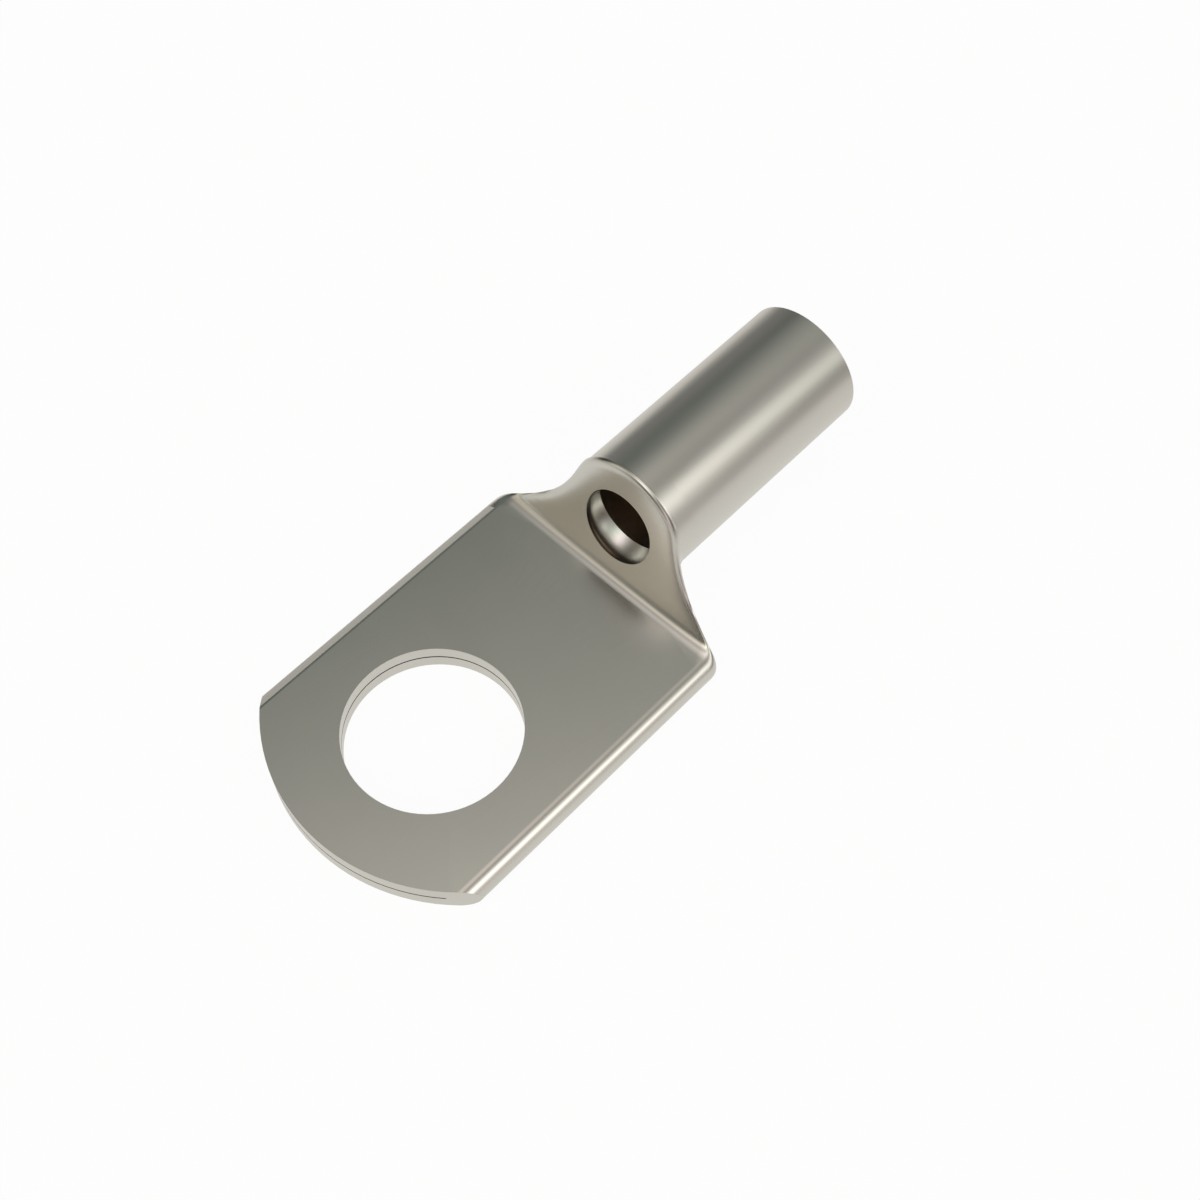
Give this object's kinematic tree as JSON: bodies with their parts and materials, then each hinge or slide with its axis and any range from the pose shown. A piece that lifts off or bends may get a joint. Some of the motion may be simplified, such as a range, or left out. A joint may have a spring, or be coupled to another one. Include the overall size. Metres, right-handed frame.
{
  "type": "compression lug",
  "caption": "One-piece tinned copper compression lug: a flat pressed palm with a stud hole, and a round barrel with a sight hole that takes a stranded conductor.",
  "frame": {"origin": "centre of the stud hole at the underside of the palm", "axes": "+X along the lug towards the mouth of the barrel, +Z square to the palm on the side that the barrel rises to"},
  "size_m": [0.0508, 0.0222, 0.0123],
  "materials": {
    "tinned_copper": "satin tin plating"
  },
  "bodies": {
    "root": {"lug_body": "tinned_copper"}
  },
  "joints": []
}
